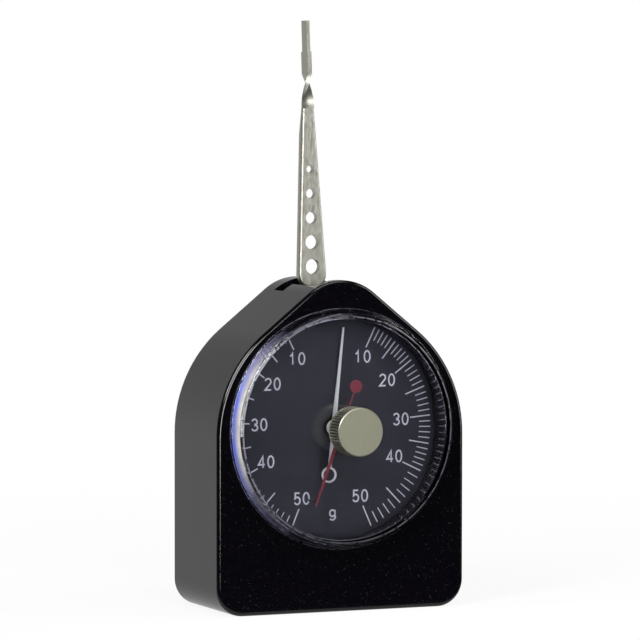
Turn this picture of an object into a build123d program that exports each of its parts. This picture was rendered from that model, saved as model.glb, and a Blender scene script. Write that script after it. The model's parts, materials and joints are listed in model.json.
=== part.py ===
from build123d import *

import os
from math import acos, cos, pi, radians, sin, sqrt, tan

# Dial force gauge with a measuring arm, a pointer, and a memory pointer with its reset knob.
# Millimetres: X to the right, Y to the back, Z up, with the origin at the middle of the base.
# A depth is counted backwards from the front face of the case.

# Case
case_width = 56.6
case_height = 70.0
case_depth = 24.5
corner_radius = 5.8
shoulder_radius = 28.2
apex_radius = 11.8
roof_angle = 38.9
front_edge_radius = 0.8
wall = 2.2

# Slot for the arm, and the relief in the crest in front of it
slot_half_width = 7.5
slot_front_gap = 0.4
slot_back_gap = 2.2
relief_half_width = 5.3
relief_front_depth = 3.0
relief_drop = 3.0
crest_wall = 1.4

# Back cover and its screws
cover_thickness = 1.7
cover_seat_width = 1.1
cover_gap = 0.1
post_radius = 2.6
low_post_side = 5.5
low_post_rise = 8.0
high_post_inset = 3.3
high_post_angle = 30.0
cover_screw_radius = 1.0
cover_screw_head_radius = 1.9
cover_screw_length = 6.0

# Crystal, set in from the sides of the case and down from its crest
crystal_side_margin = 2.8
crystal_crest_margin = 5.85
crystal_draft = 1.05
crystal_proud = 3.2
crystal_wall = 2.0
crystal_edge_radius = 0.8

# Dial
dial_depth = 6.9
dial_thickness = 0.5
dial_hole_radius = 2.0
shelf_thickness = 1.6
shelf_width = 3.0

# Movement plates, with places as shares of the half width and of the height below or above the dial
plate_thickness = 1.0
rear_plate_thickness = 1.1
front_plate_shares = ((0.645, -0.873), (0.645, -0.674), (0.735, -0.593), (0.735, 0.083), (0.51, 0.569),
                      (0.207, 0.815))
rear_plate_shares = ((0.66, -0.512), (0.66, 0.24), (0.27, 0.754))
pillar_shares = ((0.596, -0.4315), (0.596, 0.2332))
movement_screw_shares = ((0.544, -0.793), (0.177, 0.76))
plate_corner_share = 0.03
pillar_radius = 1.5
small_screw_radius = 0.75
small_head_radius = 1.4
small_head_height = 0.8
small_head_gap = 0.4
small_screw_bite = 1.5
screw_slot_share = 0.35

# Gear train
pinion_teeth = 14
sector_teeth = 116
pressure_angle = 20.0
addendum_share = 0.8
dedendum_share = 1.0
tooth_play = 0.06
sector_half_angle = 24.0
sector_rim = 2.8
sector_thickness = 1.0
sector_gap = 0.9
spoke_angle = 7.0
arm_travel = 19.0

# Arm arbor and its hubs, with lengths as shares of the arbor between the sector and the lever
pivot_drop = 11.8
arm_arbor_radius = 1.1
arm_journal_radius = 0.8
arm_bush_radius = 1.7
hub_radius = 2.4
arbor_shoulder = 0.3
sector_hub_share = 0.214
lever_hub_share = 0.196
pinion_lead_share = 0.09
spring_place_share = 0.286
spring_width_share = 0.25
hairspring_width_share = 0.18
weight_share = 0.4

# Pointer arbor
pointer_arbor_radius = 0.9
pointer_journal_radius = 0.6
pointer_bush_radius = 1.5

# Springs
spring_thickness = 0.3
spring_half_turns = 7
spring_outer_radius = 6.0
spring_collet_radius = 2.0
spring_stud_radius = 0.7
hairspring_thickness = 0.15
hairspring_half_turns = 11
hairspring_outer_radius = 5.0
hairspring_collet_radius = 1.5
hairspring_stud_radius = 0.6
stud_overhang = 0.2
collet_overhang = 0.1

# Measuring arm, whose foot stands a little below the crest
arm_sink = 2.1
arm_foot_half_width = 3.35
tray_length = 38.3
arm_tray_top_half_width = 1.36
arm_sheet = 0.6
arm_flange = 1.6
arm_bend_radius = 0.45
foot_round_share = 0.85
runout_length = 5.5
arm_hole_first = 4.5
arm_hole_pitch = 5.2
arm_hole_shares = (0.52, 0.535, 0.50, 0.455, 0.40)
twist_length = 7.3
twist_steps = 6
blade_width = 3.4
blade_thickness = 0.95
blade_length = 4.7
tip_width = 2.7
tip_thickness = 0.75
tip_length = 6.6

# Lever behind the arm, and its balance weight
lever_thickness = 0.8
lever_half_width = 2.1
lever_lap = 2.5
weight_radius = 3.0
weight_gap = 4.5
rear_plate_gap = 3.4
lever_set_angle = -1.07

# Pointer
rest_angle = 6.0
pointer_depth = 5.1
pointer_thickness = 0.3
pointer_tip_gap = 2.1
pointer_root_half_width = 0.5
pointer_tip_half_width = 0.17
pointer_hub_radius = 1.3
pointer_hub_length = 1.4
tail_half_width = 0.35
ring_reach = 10.1
ring_radius = 1.7
ring_hole_radius = 1.3

# Memory pointer, its spindle and the reset knob
memory_angle = 200.4
memory_depth = 0.8
memory_thickness = 0.3
memory_shortfall = 4.2
memory_root_half_width = 0.55
memory_tip_half_width = 0.14
memory_disc_reach = 9.5
memory_disc_radius = 1.35
memory_hub_radius = 1.4
memory_hub_length = 0.7
drag_pin_inset = 0.9
drag_pin_radius = 0.2
drag_pin_overhang = 0.3
spindle_radius = 0.8
bush_radius = 1.6
bush_flange_radius = 2.4
bush_flange = 0.9
ring_thickness = 1.0
washer_radius = 2.3
washer_thickness = 0.2
knob_radius = 5.15
knob_length = 5.15
knob_gap = 1.3
knob_boss_radius = 1.9
knob_chamfer = 0.3
knob_bore_depth = 3.5
knurl_count = 50
knurl_depth = 0.22
knurl_end = 0.35

# Stop pins
stop_pin_radius = 0.6
stop_gap = 0.1

# Fits and the overrun of every cut
running_gap = 0.03
seat_gap = 0.02
screw_gap = 0.05
overrun = 1.0

# Places that follow from the sizes above
half_width = case_width / 2
crystal_radius = half_width - crystal_side_margin
crystal_front_radius = crystal_radius - crystal_draft
dial_height = case_height - crystal_crest_margin - crystal_radius
crest_rise = case_height - dial_height
pivot_height = case_height - pivot_drop
pivot_distance = pivot_height - dial_height
gear_module = 2 * pivot_distance / (pinion_teeth + sector_teeth)
gear_ratio = sector_teeth / pinion_teeth
sector_rest = -rest_angle / gear_ratio
arm_rest = sector_rest + lever_set_angle
knob_face_proud = crystal_proud + knob_gap + knob_length
front_y = (knob_face_proud - case_depth) / 2
roof_slope = tan(radians(roof_angle))
roof_peak = case_height + apex_radius * (1 / cos(radians(roof_angle)) - 1)
eaves_height = roof_peak - roof_slope * half_width
shoulder_side = half_width - shoulder_radius
shoulder_level = eaves_height - shoulder_radius * tan(radians((90 - roof_angle) / 2))
high_post_reach = shoulder_radius - high_post_inset
high_post = (shoulder_side + high_post_reach * cos(radians(high_post_angle)),
             shoulder_level + high_post_reach * sin(radians(high_post_angle)))
relief_floor = case_height - relief_drop
cavity_top = relief_floor - crest_wall
dial_back_depth = dial_depth + dial_thickness
shelf_depth = dial_back_depth + shelf_thickness
plate_back_depth = shelf_depth + plate_thickness
sector_depth = plate_back_depth + sector_gap
sector_back_depth = sector_depth + sector_thickness
cover_depth = case_depth - cover_thickness
rear_plate_back_depth = cover_depth - small_head_height - small_head_gap
rear_plate_depth = rear_plate_back_depth - rear_plate_thickness
lever_back_depth = rear_plate_depth - rear_plate_gap
lever_depth = lever_back_depth - lever_thickness
arm_depth = lever_depth - arm_flange
slot_front_depth = arm_depth - slot_front_gap
slot_back_depth = lever_back_depth + slot_back_gap
arbor_span = lever_depth - sector_back_depth
spring_depth = sector_back_depth + spring_place_share * arbor_span
spring_width = spring_width_share * arbor_span
hairspring_width = hairspring_width_share * arbor_span
arm_foot = pivot_drop - arm_sink
arm_tray_top = arm_foot + tray_length
blade_bottom = arm_tray_top + twist_length
blade_top = blade_bottom + blade_length
tip_top = blade_top + tip_length
pointer_reach = crystal_radius - crystal_wall - pointer_tip_gap
memory_reach = pointer_reach - memory_shortfall


def layer(depth, height=0, turn=0):
    """Plane that faces the viewer at a depth, turned clockwise about its own origin."""
    across = (cos(radians(turn)), 0, -sin(radians(turn)))
    return Plane(origin=(0, front_y + depth, height), x_dir=across, z_dir=(0, -1, 0))


def rear_layer(depth):
    """Plane that faces the back at a depth, with Z up in it."""
    return Plane(origin=(0, front_y + depth, 0), x_dir=(-1, 0, 0), z_dir=(0, 1, 0))


def turning(height):
    """Plane for a turned profile: depth along its X, radius along its Y."""
    return Plane(origin=(0, front_y, height), x_dir=(0, 1, 0), z_dir=(1, 0, 0))


def turned(points, height):
    """Solid turned from a closed profile of (depth, radius) points about an axis along Y."""
    with BuildPart() as solid:
        with BuildSketch(turning(height)):
            with BuildLine():
                Polyline(*points, close=True)
            make_face()
        revolve(axis=Axis((0, 0, height), (0, 1, 0)))
    return solid.part


def tube(front, back, outer, inner, height):
    """Turned tube between two depths."""
    return turned([(front, inner), (back, inner), (back, outer), (front, outer)], height)


def house(inset):
    """Outline of the case, drawn inwards by an inset."""
    corners = ((-half_width, 0), (half_width, 0), (half_width, eaves_height),
               (0, roof_peak), (-half_width, eaves_height))
    radii = (corner_radius, corner_radius, shoulder_radius, apex_radius, shoulder_radius)
    with BuildSketch() as outline:
        with BuildLine():
            FilletPolyline(*corners, radius=radii, close=True)
        make_face()
        if inset > 0:
            offset(amount=-inset, mode=Mode.REPLACE)
    return outline.sketch


def place(x_share, z_share):
    """Point from shares of the half width and of the height above or below the dial's middle."""
    if z_share > 0:
        return (x_share * half_width, dial_height + z_share * crest_rise)
    return (x_share * half_width, dial_height + z_share * dial_height)


def both_sides(points):
    """Points and their mirror images on the left."""
    return points + [(-x, z) for x, z in reversed(points)]


def plate_outline(shares):
    """Movement plate's outline from the shares that its right-hand corners take."""
    corners = both_sides([place(*share) for share in shares])
    with BuildSketch() as outline:
        with BuildLine():
            FilletPolyline(*corners, radius=plate_corner_share * case_width, close=True)
        make_face()
    return outline.sketch


def slotted_screw(head, shank_radius, length):
    """Slotted screw along Z, whose head is a list of (radius, height) points from its top edge down."""
    head_radius, top = head[0]
    with BuildPart() as screw:
        with BuildSketch(Plane.XZ):
            with BuildLine():
                Polyline((0, top), *head, (shank_radius, -length), (0, -length), close=True)
            make_face()
        revolve(axis=Axis.Z)
        with BuildSketch(Plane.XY.offset(top)):
            Rectangle(2 * (head_radius + overrun), screw_slot_share * head_radius)
        extrude(amount=-screw_slot_share * head_radius, mode=Mode.SUBTRACT)
    return screw.part


def involute(angle):
    return tan(angle) - angle


def gear_tooth(teeth):
    """Involute tooth that points along Y, with its foot sunk under the root circle."""
    pitch_radius = gear_module * teeth / 2
    base_radius = pitch_radius * cos(radians(pressure_angle))
    tip_radius = pitch_radius + addendum_share * gear_module
    root_radius = pitch_radius - dedendum_share * gear_module
    start_radius = max(base_radius, root_radius)
    half_pitch_angle = pi / (2 * teeth) - tooth_play / (2 * pitch_radius)

    def half_angle(radius):
        return half_pitch_angle + involute(radians(pressure_angle)) - involute(acos(base_radius / radius))

    steps = 3
    radii = [start_radius + (tip_radius - start_radius) * i / steps for i in range(steps + 1)]
    right = [(r * sin(half_angle(r)), r * cos(half_angle(r))) for r in radii]
    left = [(-x, y) for x, y in reversed(right)]
    foot_x, foot_y = right[0]
    foot_y = foot_y * (root_radius - dedendum_share * gear_module) / start_radius
    with BuildSketch() as tooth:
        with BuildLine():
            Spline(*right)
            Line(right[-1], left[0])
            Spline(*left)
            Polyline(left[-1], (-foot_x, foot_y), (foot_x, foot_y), right[0])
        make_face()
    return tooth.sketch


def pie(radius, half_angle):
    """Slice of a disc that points down."""
    reach = 2 * radius
    side = reach * tan(radians(half_angle))
    with BuildSketch() as slice_of_disc:
        Circle(radius)
        with BuildLine():
            Polyline((0, 0), (side, -reach), (-side, -reach), close=True)
        make_face(mode=Mode.INTERSECT)
    return slice_of_disc.sketch


def spiral(inner, outer, half_turns, thickness):
    """Flat spiral strip of half-turn arcs from an inner radius out to an outer one on the X axis."""
    growth = (outer - inner) / half_turns
    with BuildSketch() as strip:
        with BuildLine():
            for edge in (thickness / 2, -thickness / 2):
                for index in range(half_turns):
                    side = (-1) ** (half_turns - index)
                    radius = inner + (index + 1 / 2) * growth
                    arc_start = 90 - 90 * side
                    CenterArc((-side * growth / 2, 0), radius + edge, arc_start, 180)
            start = (-1) ** half_turns * inner
            Line((start - thickness / 2, 0), (start + thickness / 2, 0))
            Line((outer - thickness / 2, 0), (outer + thickness / 2, 0))
        make_face()
    return strip.sketch


def save(piece, name):
    piece.label = name
    export_step(piece, f"parts/{name}.step")


os.makedirs("parts", exist_ok=True)

cover_posts = both_sides([(half_width - low_post_side, low_post_rise), high_post])
pillars = both_sides([place(*share) for share in pillar_shares])
movement_points = both_sides([place(*share) for share in movement_screw_shares])

# Case body: house-shaped shell, open at the back, with the dial well, its shelf and the arm's slot
with BuildPart() as case_body:
    with BuildSketch(layer(case_depth)):
        add(house(0))
    extrude(amount=case_depth)
    front_edges = case_body.faces().sort_by(Axis.Y)[0].edges()
    fillet(front_edges, radius=front_edge_radius)
    with BuildSketch(layer(case_depth)):
        add(house(wall))
        with Locations((0, cavity_top + case_height / 2)):
            Rectangle(case_width, case_height, mode=Mode.SUBTRACT)
        with Locations(*cover_posts):
            Circle(post_radius, mode=Mode.SUBTRACT)
    extrude(amount=case_depth - shelf_depth, mode=Mode.SUBTRACT)
    with BuildSketch(layer(case_depth)):
        add(house(cover_seat_width))
    extrude(amount=cover_thickness, mode=Mode.SUBTRACT)
    with BuildSketch(layer(dial_back_depth, dial_height)):
        Circle(crystal_radius + screw_gap)
    extrude(amount=dial_back_depth + overrun, mode=Mode.SUBTRACT)
    with BuildSketch(layer(shelf_depth, dial_height)):
        Circle(crystal_radius - shelf_width)
    extrude(amount=shelf_depth, mode=Mode.SUBTRACT)
    with BuildSketch(layer(slot_back_depth, cavity_top)):
        Rectangle(2 * slot_half_width, case_height - cavity_top + overrun,
                  align=(Align.CENTER, Align.MIN))
        Rectangle(2 * slot_half_width, wall, align=(Align.CENTER, Align.MAX))
    extrude(amount=slot_back_depth - slot_front_depth, mode=Mode.SUBTRACT)
    with BuildSketch(layer(slot_front_depth, relief_floor)):
        Rectangle(2 * relief_half_width, relief_drop + overrun, align=(Align.CENTER, Align.MIN))
    extrude(amount=slot_front_depth - relief_front_depth, mode=Mode.SUBTRACT)
    with BuildSketch(layer(cover_depth)):
        with Locations(*cover_posts):
            Circle(cover_screw_radius + screw_gap)
    extrude(amount=cover_screw_length, mode=Mode.SUBTRACT)
    with BuildSketch(layer(shelf_depth)):
        with Locations(*movement_points):
            Circle(small_screw_radius + screw_gap)
    extrude(amount=small_screw_bite + screw_gap, mode=Mode.SUBTRACT)
save(case_body.part, "case_body")

# Back cover, let into the case flush with its back
with BuildPart() as back_cover:
    with BuildSketch(layer(case_depth)):
        add(house(cover_seat_width + cover_gap))
    extrude(amount=cover_thickness)
    with Locations(rear_layer(case_depth)):
        with Locations(*cover_posts):
            CounterSinkHole(cover_screw_radius + screw_gap, cover_screw_head_radius + screw_gap,
                            counter_sink_angle=90)
save(back_cover.part, "back_cover")

# Four countersunk screws of the back cover
flush_head = [(cover_screw_head_radius, 0),
              (cover_screw_radius, cover_screw_radius - cover_screw_head_radius)]
with BuildPart(rear_layer(case_depth)) as back_cover_screws:
    with Locations(*cover_posts):
        add(slotted_screw(flush_head, cover_screw_radius, cover_screw_length))
save(back_cover_screws.part, "back_cover_screws")

# Crystal: clear cup that stands proud of the front and clamps the dial on its shelf
with BuildPart() as crystal:
    with BuildSketch(turning(dial_height)) as crystal_profile:
        with BuildLine():
            Polyline((dial_depth, crystal_radius - crystal_wall), (dial_depth, crystal_radius),
                     (0, crystal_radius), (-crystal_proud, crystal_front_radius),
                     (-crystal_proud, bush_radius + seat_gap),
                     (crystal_wall - crystal_proud, bush_radius + seat_gap),
                     (crystal_wall - crystal_proud, crystal_front_radius - crystal_wall), close=True)
        make_face()
        rim_corners = crystal_profile.vertices().group_by(Axis.Y)[0].sort_by(Axis.Z)[-1:]
        fillet(rim_corners, radius=crystal_edge_radius)
    revolve(axis=Axis((0, 0, dial_height), (0, 1, 0)))
save(crystal.part, "crystal")

# Bush in the crystal for the reset spindle, and the ring that holds it from inside
bush_front_depth = -crystal_proud - bush_flange
crystal_inner_depth = crystal_wall - crystal_proud
bush_back_depth = crystal_inner_depth + ring_thickness
bush_bore = spindle_radius + running_gap
bush_points = [(bush_front_depth, bush_bore), (bush_back_depth, bush_bore), (bush_back_depth, bush_radius),
               (-crystal_proud, bush_radius), (-crystal_proud, bush_flange_radius),
               (bush_front_depth, bush_flange_radius)]
save(turned(bush_points, dial_height), "crystal_bush")
save(tube(crystal_inner_depth, bush_back_depth, bush_flange_radius, bush_radius + seat_gap, dial_height),
     "bush_ring")

# Dial plate, which lies on the shelf of the case
with BuildPart() as dial_plate:
    with BuildSketch(layer(dial_back_depth, dial_height)):
        Circle(crystal_radius - seat_gap)
        Circle(dial_hole_radius, mode=Mode.SUBTRACT)
    extrude(amount=dial_thickness)
save(dial_plate.part, "dial_plate")

# Movement plates
with BuildPart() as movement_front_plate:
    with BuildSketch(layer(plate_back_depth)):
        add(plate_outline(front_plate_shares))
        with Locations((0, dial_height)):
            Circle(pointer_bush_radius + seat_gap, mode=Mode.SUBTRACT)
        with Locations((0, pivot_height)):
            Circle(arm_bush_radius + seat_gap, mode=Mode.SUBTRACT)
        with Locations(*movement_points):
            Circle(small_screw_radius + screw_gap, mode=Mode.SUBTRACT)
    extrude(amount=plate_thickness)
save(movement_front_plate.part, "movement_front_plate")

with BuildPart() as movement_rear_plate:
    with BuildSketch(layer(rear_plate_back_depth)):
        add(plate_outline(rear_plate_shares))
        with Locations((0, dial_height)):
            Circle(pointer_bush_radius + seat_gap, mode=Mode.SUBTRACT)
        with Locations((0, pivot_height)):
            Circle(arm_bush_radius + seat_gap, mode=Mode.SUBTRACT)
        with Locations(*pillars):
            Circle(small_screw_radius + screw_gap, mode=Mode.SUBTRACT)
    extrude(amount=rear_plate_thickness)
save(movement_rear_plate.part, "movement_rear_plate")

# Pillars between the plates, tapped for the screws of the rear plate
pillar_length = rear_plate_depth - plate_back_depth
with BuildPart() as movement_pillars:
    with BuildSketch(layer(rear_plate_depth)):
        with Locations(*pillars):
            Circle(pillar_radius)
    extrude(amount=pillar_length)
    with BuildSketch(layer(rear_plate_depth)):
        with Locations(*pillars):
            Circle(small_screw_radius + screw_gap)
    extrude(amount=small_screw_bite + screw_gap, mode=Mode.SUBTRACT)
save(movement_pillars.part, "movement_pillars")

pan_head = [(small_head_radius, small_head_height), (small_head_radius, 0), (small_screw_radius, 0)]
with BuildPart(rear_layer(rear_plate_back_depth)) as rear_plate_screws:
    with Locations(*pillars):
        add(slotted_screw(pan_head, small_screw_radius, rear_plate_thickness + small_screw_bite))
save(rear_plate_screws.part, "rear_plate_screws")

with BuildPart(rear_layer(plate_back_depth)) as movement_screws:
    with Locations(*movement_points):
        add(slotted_screw(pan_head, small_screw_radius, plate_thickness + small_screw_bite))
save(movement_screws.part, "movement_screws")


# Bushes of both arbors, one in each plate
def plate_bushes(outer, journal, height):
    with BuildPart() as bushes:
        add(tube(shelf_depth, plate_back_depth, outer, journal + running_gap, height))
        add(tube(rear_plate_depth, rear_plate_back_depth, outer, journal + running_gap, height))
    return bushes.part


save(plate_bushes(arm_bush_radius, arm_journal_radius, pivot_height), "arm_bushes")
save(plate_bushes(pointer_bush_radius, pointer_journal_radius, dial_height), "pointer_bushes")

# Stop pins on the front plate, one each side of the sector's travel
pitch_radius_sector = gear_module * sector_teeth / 2
stop_reach = pitch_radius_sector - sector_rim
stop_angle = radians(sector_half_angle + arm_travel) + (stop_pin_radius + stop_gap) / stop_reach
stop_points = [(side * stop_reach * sin(stop_angle), -stop_reach * cos(stop_angle)) for side in (-1, 1)]
with BuildPart() as stop_pins:
    with BuildSketch(layer(sector_back_depth, pivot_height)):
        with Locations(*stop_points):
            Circle(stop_pin_radius)
    extrude(amount=sector_back_depth - plate_back_depth)
save(stop_pins.part, "stop_pins")

# Arm arbor, with its journals in the bushes
shoulder_front = plate_back_depth + arbor_shoulder
shoulder_back = rear_plate_depth - arbor_shoulder
arbor_points = [(shelf_depth, 0), (shelf_depth, arm_journal_radius), (shoulder_front, arm_journal_radius),
                (shoulder_front, arm_arbor_radius), (shoulder_back, arm_arbor_radius),
                (shoulder_back, arm_journal_radius), (rear_plate_back_depth, arm_journal_radius),
                (rear_plate_back_depth, 0)]
save(turned(arbor_points, pivot_height), "arm_arbor")

# Toothed sector that drives the pinion
root_radius_sector = pitch_radius_sector - dedendum_share * gear_module
window_outer = root_radius_sector - sector_rim
sector_pitch_angle = 360 / sector_teeth
sector_side_teeth = int(sector_half_angle / sector_pitch_angle)
with BuildPart() as sector_gear:
    with BuildSketch(layer(sector_back_depth, pivot_height, sector_rest)):
        add(pie(root_radius_sector, sector_half_angle))
        for index in range(-sector_side_teeth, sector_side_teeth):
            add(gear_tooth(sector_teeth), rotation=180 + (index + 1 / 2) * sector_pitch_angle)
        add(pie(window_outer, sector_half_angle - spoke_angle), mode=Mode.SUBTRACT)
        Circle(hub_radius + sector_thickness)
        Circle(arm_arbor_radius + seat_gap, mode=Mode.SUBTRACT)
    extrude(amount=sector_thickness)
save(sector_gear.part, "sector_gear")
save(tube(sector_back_depth, sector_back_depth + sector_hub_share * arbor_span, hub_radius,
          arm_arbor_radius + seat_gap, pivot_height), "sector_hub")

# Pinion arbor: the front journal carries the pointer through the dial
pinion_lead = pinion_lead_share * arbor_span
pinion_front = sector_depth - pinion_lead
pinion_back = sector_back_depth + pinion_lead
pinion_root_radius = gear_module * (pinion_teeth / 2 - dedendum_share)
pointer_arbor_front = pointer_depth - arbor_shoulder
with BuildPart() as pinion_arbor:
    add(turned([(pointer_arbor_front, 0), (pointer_arbor_front, pointer_journal_radius),
                (shoulder_front, pointer_journal_radius), (shoulder_front, pointer_arbor_radius),
                (shoulder_back, pointer_arbor_radius), (shoulder_back, pointer_journal_radius),
                (rear_plate_back_depth, pointer_journal_radius), (rear_plate_back_depth, 0)],
               dial_height))
    with BuildSketch(layer(pinion_back, dial_height, rest_angle)):
        Circle(pinion_root_radius)
        for index in range(pinion_teeth):
            add(gear_tooth(pinion_teeth), rotation=index * 360 / pinion_teeth)
    extrude(amount=pinion_back - pinion_front)
save(pinion_arbor.part, "pinion_arbor")

# Springs: the spiral that measures the force, and the hairspring that takes up the gear play
spring_start = spring_collet_radius + seat_gap + spring_thickness / 2
with BuildPart() as measuring_spring:
    with BuildSketch(layer(spring_depth + spring_width, pivot_height)):
        add(spiral(spring_start, spring_outer_radius, spring_half_turns, spring_thickness))
    extrude(amount=spring_width)
save(measuring_spring.part, "measuring_spring")
save(tube(spring_depth - collet_overhang, spring_depth + spring_width + collet_overhang,
          spring_collet_radius, arm_arbor_radius + seat_gap, pivot_height), "spring_collet")

hairspring_start = hairspring_collet_radius + seat_gap + hairspring_thickness / 2
with BuildPart() as hairspring:
    with BuildSketch(layer(spring_depth + hairspring_width, dial_height)):
        add(spiral(hairspring_start, hairspring_outer_radius, hairspring_half_turns, hairspring_thickness))
    extrude(amount=hairspring_width)
save(hairspring.part, "hairspring")
save(tube(spring_depth - collet_overhang, spring_depth + hairspring_width + collet_overhang,
          hairspring_collet_radius, pointer_arbor_radius + seat_gap, dial_height), "hairspring_collet")


# Studs on the front plate that hold the outer ends of the springs
def spring_stud(reach, radius, width, height):
    back = spring_depth + width + stud_overhang
    with BuildPart() as stud:
        with BuildSketch(layer(back, height)):
            with Locations((reach + radius + seat_gap, 0)):
                Circle(radius)
        extrude(amount=back - plate_back_depth)
    return stud.part


save(spring_stud(spring_outer_radius + spring_thickness / 2, spring_stud_radius, spring_width,
                 pivot_height), "spring_stud")
save(spring_stud(hairspring_outer_radius + hairspring_thickness / 2, hairspring_stud_radius,
                 hairspring_width, dial_height), "hairspring_stud")

# Lever plate that carries the arm up through the slot, with its hub and balance weight
weight_drop = pivot_distance - weight_radius - weight_gap
with BuildPart() as lever_plate:
    with BuildSketch(layer(lever_back_depth, pivot_height, arm_rest)):
        Rectangle(2 * lever_half_width, arm_foot + lever_lap, align=(Align.CENTER, Align.MIN))
        Rectangle(2 * lever_half_width, weight_drop, align=(Align.CENTER, Align.MAX))
        with Locations((0, -weight_drop)):
            Circle(weight_radius)
        Circle(hub_radius + lever_thickness)
        Circle(arm_arbor_radius + seat_gap, mode=Mode.SUBTRACT)
    extrude(amount=lever_thickness)
save(lever_plate.part, "lever_plate")
save(tube(lever_depth - lever_hub_share * arbor_span, lever_depth, hub_radius,
          arm_arbor_radius + seat_gap, pivot_height), "lever_hub")

with BuildPart() as balance_weight:
    with BuildSketch(layer(lever_depth, pivot_height, arm_rest)):
        with Locations((0, -weight_drop)):
            Circle(weight_radius)
    extrude(amount=weight_share * arbor_span)
save(balance_weight.part, "balance_weight")


# Measuring arm: a pressed tray that tapers upwards, twists a quarter turn and ends in a narrow blade
def tray_half_width(height):
    rise_share = (height - arm_foot) / (arm_tray_top - arm_foot)
    return arm_foot_half_width + (arm_tray_top_half_width - arm_foot_half_width) * rise_share


def tray_outline(inset, top):
    foot = arm_foot + inset
    foot_half = tray_half_width(foot) - inset
    top_half = tray_half_width(top) - inset
    with BuildSketch() as outline:
        with BuildLine():
            FilletPolyline((-foot_half, foot), (foot_half, foot), (top_half, top), (-top_half, top),
                           radius=(foot_round_share * foot_half, foot_round_share * foot_half, 0, 0),
                           close=True)
        make_face()
    return outline.sketch


arm_back_plane = layer(lever_depth, pivot_height, arm_rest)
arm_up = (sin(radians(arm_rest)), 0, cos(radians(arm_rest)))
arm_across = (cos(radians(arm_rest)), 0, -sin(radians(arm_rest)))
arm_frame = Plane(origin=(0, front_y, pivot_height), x_dir=arm_across, z_dir=arm_up)
web_middle = arm_depth + arm_sheet / 2
with BuildPart() as measuring_arm:
    with BuildSketch(arm_back_plane):
        add(tray_outline(0, arm_tray_top))
    extrude(amount=arm_flange)
    tray_edges = measuring_arm.faces().sort_by(Axis.Y)[0].edges().sort_by(Axis.Z)[:-1]
    fillet(tray_edges, radius=arm_bend_radius)
    with BuildSketch(arm_back_plane):
        add(tray_outline(arm_sheet, arm_tray_top + overrun))
    extrude(amount=arm_flange - arm_sheet, mode=Mode.SUBTRACT)
    with BuildSketch(turning(pivot_height)):
        with BuildLine():
            Polyline((arm_depth + arm_sheet, arm_tray_top + overrun), (arm_depth + arm_sheet, arm_tray_top),
                     (lever_depth, arm_tray_top - runout_length),
                     (lever_depth + overrun, arm_tray_top - runout_length),
                     (lever_depth + overrun, arm_tray_top + overrun), close=True)
        make_face()
    extrude(amount=arm_foot_half_width, both=True, mode=Mode.SUBTRACT)
    with BuildSketch(arm_back_plane):
        for index, width_share in enumerate(arm_hole_shares):
            hole_height = arm_foot + arm_hole_first + index * arm_hole_pitch
            with Locations((0, hole_height)):
                Circle(width_share * tray_half_width(hole_height))
    extrude(amount=arm_flange + overrun, mode=Mode.SUBTRACT)
    for step in range(twist_steps + 1):
        share = step / twist_steps
        section_width = 2 * arm_tray_top_half_width * (1 - share) + blade_width * share
        section_thickness = arm_sheet * (1 - share) + blade_thickness * share
        with BuildSketch(arm_frame.offset(arm_tray_top + twist_length * share)):
            with Locations((0, web_middle)):
                Rectangle(section_width, section_thickness, rotation=90 * share)
    loft()
    with BuildSketch(arm_frame.offset(blade_bottom)):
        with Locations((0, web_middle)):
            Rectangle(blade_thickness, blade_width)
    extrude(amount=blade_top - blade_bottom)
    with BuildSketch(arm_frame.offset(blade_top)):
        with Locations((0, web_middle)):
            Rectangle(tip_thickness, tip_width)
    extrude(amount=tip_top - blade_top)
save(measuring_arm.part, "measuring_arm")


# Pointers: tapered needles cut from thin sheet
def needle(root, reach, root_half_width, tip_half_width):
    with BuildSketch() as blank:
        with BuildLine():
            Polyline((-root_half_width, root), (-tip_half_width, reach), (tip_half_width, reach),
                     (root_half_width, root), close=True)
        make_face()
    return blank.sketch


with BuildPart() as pointer:
    with BuildSketch(layer(pointer_depth + pointer_thickness, dial_height, rest_angle)):
        add(needle(0, pointer_reach, pointer_root_half_width, pointer_tip_half_width))
        add(needle(-ring_reach, 0, tail_half_width, tail_half_width))
        with Locations((0, -ring_reach)):
            Circle(ring_radius)
            Circle(ring_hole_radius, mode=Mode.SUBTRACT)
        Circle(pointer_hub_radius + pointer_thickness)
        Circle(pointer_journal_radius + seat_gap, mode=Mode.SUBTRACT)
    extrude(amount=pointer_thickness)
save(pointer.part, "pointer")
pointer_back_depth = pointer_depth + pointer_thickness
save(tube(pointer_back_depth, pointer_back_depth + pointer_hub_length, pointer_hub_radius,
          pointer_journal_radius + seat_gap, dial_height), "pointer_hub")

memory_back_depth = memory_depth + memory_thickness
with BuildPart() as memory_pointer:
    with BuildSketch(layer(memory_back_depth, dial_height, memory_angle)):
        add(needle(0, memory_reach, memory_root_half_width, memory_tip_half_width))
        add(needle(-memory_disc_reach, 0, memory_root_half_width, memory_root_half_width))
        with Locations((0, -memory_disc_reach)):
            Circle(memory_disc_radius)
        Circle(memory_hub_radius + memory_thickness)
        Circle(spindle_radius + seat_gap, mode=Mode.SUBTRACT)
    extrude(amount=memory_thickness)
save(memory_pointer.part, "memory_pointer")

spindle_back_depth = memory_back_depth + memory_hub_length
save(tube(memory_back_depth, spindle_back_depth, memory_hub_radius, spindle_radius + seat_gap,
          dial_height), "memory_hub")

drag_pin_back = pointer_depth + pointer_thickness + drag_pin_overhang
with BuildPart() as drag_pin:
    with BuildSketch(layer(drag_pin_back, dial_height, memory_angle)):
        with Locations((0, memory_reach - drag_pin_inset)):
            Circle(drag_pin_radius)
    extrude(amount=drag_pin_back - memory_back_depth)
save(drag_pin.part, "drag_pin")

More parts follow.
